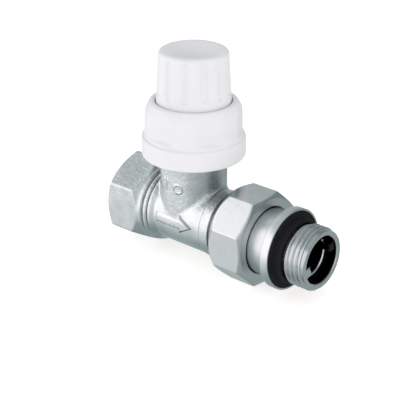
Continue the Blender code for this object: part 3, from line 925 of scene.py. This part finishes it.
def nut_outline(angle):
    """The nut's section at one angle. Its chamfers run further down at the edges than on the flats."""
    sector = math.tau / 8
    off = abs((angle - NUT_TURN + sector / 2) % sector - sector / 2)
    side = soft_min(NUT_FLAT / math.cos(off), NUT_FLAT / math.cos(sector - off), 0.12)
    front = NUT_FRONT - 1.3 * (side - FRONT_FACE_R) / (NUT_CORNER - FRONT_FACE_R)
    rear = NUT_REAR + 2.35 * (side - REAR_FACE_R) / (NUT_CORNER - REAR_FACE_R)
    return [
        (FRONT_FACE_R, NUT_FRONT, 0.3),
        (side, front, 0.4),
        *((side, h) for h in np.linspace(front - 0.8, rear + 0.8, 9)),
        (side, rear, 0.3),
        (REAR_FACE_R, NUT_REAR, 0.1),
        (NUT_BORE + 0.6, NUT_REAR),
        *rows_between(NUT_BORE, NUT_REAR + 0.6, NUT_THREAD_END, 0.12),
        (NUT_BORE, NUT_SHOULDER),
        (SLIDE_R, NUT_SHOULDER),
        (SLIDE_R, NUT_FRONT - 0.3),
        (SLIDE_R + 0.3, NUT_FRONT),
    ]


def nut_thread(radius, height, angle):
    return thread(radius, height, angle, NUT_BORE, PIPE_PITCH, -0.55, NUT_REAR - 0.5, NUT_THREAD_END)


milled_nickel, place = new_finish("milled_nickel")
strokes = place.grain(0.12, 2.0, stretch=(40, 1, 1))
cloud = place.grain(5.0, 3.0)
pits = place.grain(0.45, 3.0).ramp(0.6, 0.8)
lay(
    milled_nickel,
    {
        "Base Color": (cloud * 0.7 + strokes * 0.3).tint((0.60, 0.625, 0.63), (0.74, 0.75, 0.76)),
        "Roughness": 0.10 + 0.12 * cloud + 0.08 * strokes + 0.15 * pits,
    },
    {"Metallic": 1.0},
    strokes * 0.6 + cloud * 2.0 + pits * 0.9,
    0.020,
)
nut_angles = corners_of(8, NUT_TURN)
nut_mesh = sweep("nut", nut_outline, nut_angles, nut_thread, along_x=True)
add_piece("octagon_nut", nut_mesh, milled_nickel, "nut", "machined_nickel", "union_nut", sharp=30.0)


# ---- Cap base --------------------------------------------------------------------------------------
# White moulded plastic. It screws over the head thread, has six shallow grip flats, a skirt at its foot
# and a tall hub inside for the knob to turn on.

CAP_THREAD_R = HEAD_THREAD_R + 0.35
CAP_THREAD_TOP = 29.6
CAP_R = 16.4
CAP_TOP = 41.0
CAP_FOOT = 21.9
SHOULDER_R = 14.3
FLOOR_UNDER = 31.3
FLOOR_TOP = 33.2
KNOB_ROOM_R = 12.75
HUB_R = 9.6
HUB_BORE_R = 7.7
HUB_TOP = 40.0
GRIP_FLAT = 15.42
base = [
    (KNOB_ROOM_R, CAP_TOP, 0.4),
    (SHOULDER_R, CAP_TOP, 1.4),
    *softened([(SHOULDER_R, CAP_TOP), (16.1, 38.2, 3.2), (CAP_R, 33.0)], chord=0.3)[1:-1],
    *rows_between(CAP_R, 34.4, 30.4, 0.3),
    (CAP_R + 0.02, 30.05),
    (CAP_R + 0.02, 29.95),
    (CAP_R + 0.05, 29.0, 0.3),
    (17.25, 28.6, 0.4),
    (17.35, CAP_FOOT, 1.0),
    (15.6, CAP_FOOT),
    *rows_between(CAP_THREAD_R, 22.6, CAP_THREAD_TOP, 0.1),
    (CAP_THREAD_R, FLOOR_UNDER),
    (HUB_BORE_R, FLOOR_UNDER),
    (HUB_BORE_R, HUB_TOP, 0.3),
    (HUB_R, HUB_TOP, 0.3),
    (HUB_R, FLOOR_TOP, 0.5),
    (KNOB_ROOM_R, FLOOR_TOP, 0.5),
]


def cap_base_shape(radius, height, angle):
    """Cuts the six grip flats from the outside, above the skirt, and the thread from the inside."""
    off = angle % (math.pi / 3) - math.pi / 6
    flat = soft_min(radius, GRIP_FLAT / np.cos(off), 0.08)
    above_skirt = (radius > 13.0) * smooth_step(height, 29.9, 30.6)
    gripped = radius + (flat - radius) * above_skirt
    return thread(gripped, height, angle, CAP_THREAD_R, HEAD_PITCH, -0.55, 22.0, CAP_THREAD_TOP)


white_plastic, place = new_finish("white_plastic")
fine = place.grain(0.28, 2.0)
flow = place.grain(9.0, 2.0).ramp(0.3, 0.75)
handling = place.grain(2.2, 3.0).ramp(0.45, 0.8)
lay(
    white_plastic,
    {
        "Base Color": flow.tint((0.77, 0.76, 0.775), (0.745, 0.735, 0.75)),
        "Roughness": 0.36 + 0.10 * handling + 0.08 * fine,
    },
    {"Specular IOR Level": 0.45},
    fine + handling * 0.6,
    0.010,
)
base_mesh = sweep("base", base, even(240), cap_base_shape)
add_piece("cap_base_ring", base_mesh, white_plastic, "cap_base", "white_plastic", "cap_ring")


# ---- Knob ------------------------------------------------------------------------------------------
# White moulded plastic cup with twelve flutes. Turning it drives the grey thrust button in its middle
# down onto the spindle, which closes the valve by hand.

KNOB_TOP = 57.9
KNOB_TOP_R = 11.5
KNOB_FOOT_R = 12.45
KNOB_TAPER_END = 40.9
KNOB_FOOT = 36.9
KNOB_WALL = 1.5
KNOB_CEILING = 55.9
POST_R = 7.4
POST_BORE_R = 6.2
POST_FOOT = 34.9
SNAP_R = 2.9
SNAP_LOW = 39.1
SNAP_HIGH = 41.1
widening = (KNOB_FOOT_R - KNOB_TOP_R) / (KNOB_TOP - KNOB_TAPER_END)
knob_side = [(KNOB_FOOT_R - widening * (h - KNOB_TAPER_END), h) for h in np.arange(56.2, 41.2, -0.4)]
knob = [
    (0, KNOB_TOP - 0.12),
    (7.2, KNOB_TOP - 0.12),
    (7.5, KNOB_TOP),
    (KNOB_TOP_R, KNOB_TOP, 1.4),
    *knob_side,
    (KNOB_FOOT_R, KNOB_TAPER_END),
    (KNOB_FOOT_R, KNOB_FOOT, 0.2),
    (KNOB_FOOT_R - KNOB_WALL, KNOB_FOOT, 0.2),
    (KNOB_TOP_R - KNOB_WALL, KNOB_CEILING, 0.5),
    (POST_R, KNOB_CEILING),
    (POST_R, POST_FOOT, 0.2),
    (POST_BORE_R, POST_FOOT, 0.2),
    (POST_BORE_R, SNAP_LOW),
    (SNAP_R, SNAP_LOW, 0.1),
    (SNAP_R, SNAP_HIGH, 0.1),
    (POST_BORE_R, SNAP_HIGH),
    (POST_BORE_R, KNOB_CEILING),
    (0, KNOB_CEILING),
]
FLUTES = 12
FLUTE_TURN = math.radians(-62)
FLUTE_R = 1.6
FLUTE_RISE = 0.95


def fluted(radius, height, angle):
    """Presses round-bottomed flutes into the outer wall, fading out at both ends.

    Each is the mark of a bar of radius FLUTE_R whose middle lies FLUTE_RISE outside the wall.
    """
    sector = math.tau / FLUTES
    off = (angle - FLUTE_TURN + sector / 2) % sector - sector / 2
    across = off * radius
    groove = np.sqrt(np.maximum(FLUTE_R**2 - across**2, 0)) - FLUTE_RISE
    groove = soft_max(groove, np.zeros_like(groove), 0.06)
    ends = smooth_step(height, 43.3, 43.9) * (1 - smooth_step(height, 56.2, 57.3))
    on_outside = radius > KNOB_TOP_R - KNOB_WALL / 2
    return np.where(on_outside, radius - groove * ends, radius)


knob_mesh = sweep("knob", knob, even(240), fluted, closed=False)
add_piece("fluted_knob", knob_mesh, white_plastic, "knob", "white_plastic", "cap_knob")

BUTTON_STEM_R = SNAP_R - GAP
BUTTON_R = 5.8
BUTTON_FACE = STEM_TIP + GAP
button = [
    (0, 42.6),
    (BUTTON_STEM_R, 42.6, 0.4),
    (3.3, SNAP_HIGH + 0.4, 0.1),
    (BUTTON_STEM_R, SNAP_HIGH + 0.3),
    (BUTTON_STEM_R, SNAP_LOW - 0.3),
    (BUTTON_R, SNAP_LOW - 0.3, 0.3),
    (BUTTON_R, BUTTON_FACE, 0.4),
    (0, BUTTON_FACE),
]
grey_acetal, place = new_finish("grey_acetal")
fine = place.grain(0.25, 2.0)
flow = place.grain(3.0)
lay(
    grey_acetal,
    {"Base Color": flow.tint((0.40, 0.41, 0.42), (0.34, 0.35, 0.36)), "Roughness": 0.34 + 0.14 * flow},
    {"Specular IOR Level": 0.5},
    fine,
    0.006,
)
button_mesh = sweep("button", button, even(64), closed=False)
add_piece("thrust_pad", button_mesh, grey_acetal, "pusher", "grey_plastic", "thrust_button")


# ---- Studio ----------------------------------------------------------------------------------------
# The valve stands on a pale floor that glows a little, so its shadow is faint. The room has a broad
# window on the arrow's side and is dim on the other, and two soft fills light the white plastic. The
# camera looks down from the outlet's side.

floor_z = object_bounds()[0][2]
FLOOR_REACH = 3.0
corners = [(x * FLOOR_REACH, y * FLOOR_REACH, floor_z) for x, y in ((-1, -1), (1, -1), (1, 1), (-1, 1))]
floor_mesh = bpy.data.meshes.new("floor")
floor_mesh.from_pydata(corners, [], [(0, 1, 2, 3)])
floor_paint, place = new_finish("floor_paint")
mottle = place.grain(60.0)
lay(
    floor_paint,
    {"Base Color": mottle.tint((0.57, 0.57, 0.57), (0.59, 0.59, 0.59))},
    {
        "Roughness": 0.8,
        "Specular IOR Level": 0.2,
        "Emission Color": (1.0, 0.97, 0.955, 1),
        "Emission Strength": 0.69,
    },
    mottle,
    0.1,
)
floor_mesh.materials.append(floor_paint)
floor = bpy.data.objects.new("floor", floor_mesh)
floor.visible_glossy = False
bpy.context.scene.collection.objects.link(floor)

MIDDLE = Vector((0.03, 0.0, 0.02))


def soft_light(name, towards, distance, width, height, strength, colour):
    """A rectangular soft light in one direction from the valve, facing it. Metal doesn't mirror it."""
    light = bpy.data.lights.new(name, "AREA")
    light.shape = "RECTANGLE"
    light.size = width
    light.size_y = height
    light.energy = strength * width * height * math.pi
    light.color = colour
    lamp = bpy.data.objects.new(name, light)
    direction = Vector(towards).normalized()
    lamp.location = MIDDLE + direction * distance
    lamp.rotation_euler = direction.to_track_quat("Z", "Y").to_euler()
    lamp.visible_glossy = False
    bpy.context.scene.collection.objects.link(lamp)


soft_light("fill_right", (0.9, 0.15, 0.30), 1.2, 1.2, 0.8, 1.7, (1.0, 0.97, 0.96))
soft_light("fill_top", (0.2, 0.1, 1.0), 1.2, 0.9, 0.9, 0.95, (1.0, 0.95, 0.94))

world = bpy.data.worlds.new("studio")
bpy.context.scene.world = world
world.use_nodes = True
looking = Shade(world.node_tree.nodes.new("ShaderNodeTexCoord").outputs["Generated"])
level = looking.node("VectorMath", {"operation": "MULTIPLY"}, {0: looking, 1: (1, 1, 0)})
level = looking.node("VectorMath", {"operation": "NORMALIZE"}, {0: level})
rise = looking.node("SeparateXYZ", {}, {0: looking}, output=2)


def side_mask(azimuth, zero, full, low, high):
    """1 towards an azimuth and between two heights, and 0 elsewhere.

    It is full within so many degrees of the azimuth and zero beyond so many. It fades in between the two
    heights of low and out between those of high, which go from -1 straight down to 1 straight up.
    """
    axis = (math.cos(math.radians(azimuth)), math.sin(math.radians(azimuth)), 0)
    towards = looking.node("VectorMath", {"operation": "DOT_PRODUCT"}, {0: level, 1: axis}, output=1)
    across = towards.ramp(math.cos(math.radians(zero)), math.cos(math.radians(full)))
    return across * rise.ramp(*low) * (1 - rise.ramp(*high))


def painted(first, mask, colour):
    return looking.node("Mix", {"data_type": "RGBA"}, {0: mask, 6: first, 7: (*colour, 1)}, output=2)


room = rise.ramp(-1.0, -0.5).tint((0.30, 0.37, 0.375), (0.52, 0.58, 0.585))
room = painted(room, rise.ramp(-0.4, 0.0), (0.60, 0.65, 0.66))
for wall, colour in (
    (side_mask(140, 75, 30, (-0.2, 0.2), (0.8, 0.95)), (0.50, 0.55, 0.555)),
    (side_mask(50, 85, 45, (-1.0, -0.75), (0.55, 0.85)), (0.38, 0.43, 0.435)),
    (side_mask(40, 85, 45, (-0.3, 0.05), (0.55, 0.85)), (0.24, 0.285, 0.29)),
    (side_mask(315, 48, 15, (-0.3, 0.05), (0.5, 0.75)), (0.80, 0.84, 0.85)),
    (side_mask(238, 68, 30, (-0.85, -0.5), (0.5, 0.85)), (0.80, 0.84, 0.85)),
    (side_mask(230, 56, 42, (-0.5, -0.12), (0.63, 0.75)), (1.52, 1.47, 1.50)),
):
    room = painted(room, wall, colour)
background = world.node_tree.nodes["Background"]
world.node_tree.links.new(room.socket, background.inputs["Color"])

CAMERA_AT = Vector((0.2874, -0.2948, 0.1877))
CAMERA_TARGET = Vector((0.02954, 0.00134, 0.00457))
camera_data = bpy.data.cameras.new("camera")
camera_data.lens = 115.17
camera_data.sensor_width = 36.0
camera = bpy.data.objects.new("camera", camera_data)
camera.location = CAMERA_AT
camera.rotation_euler = (CAMERA_AT - CAMERA_TARGET).to_track_quat("Z", "Y").to_euler()
bpy.context.scene.collection.objects.link(camera)
bpy.context.scene.camera = camera
bpy.context.scene.view_settings.view_transform = "Standard"
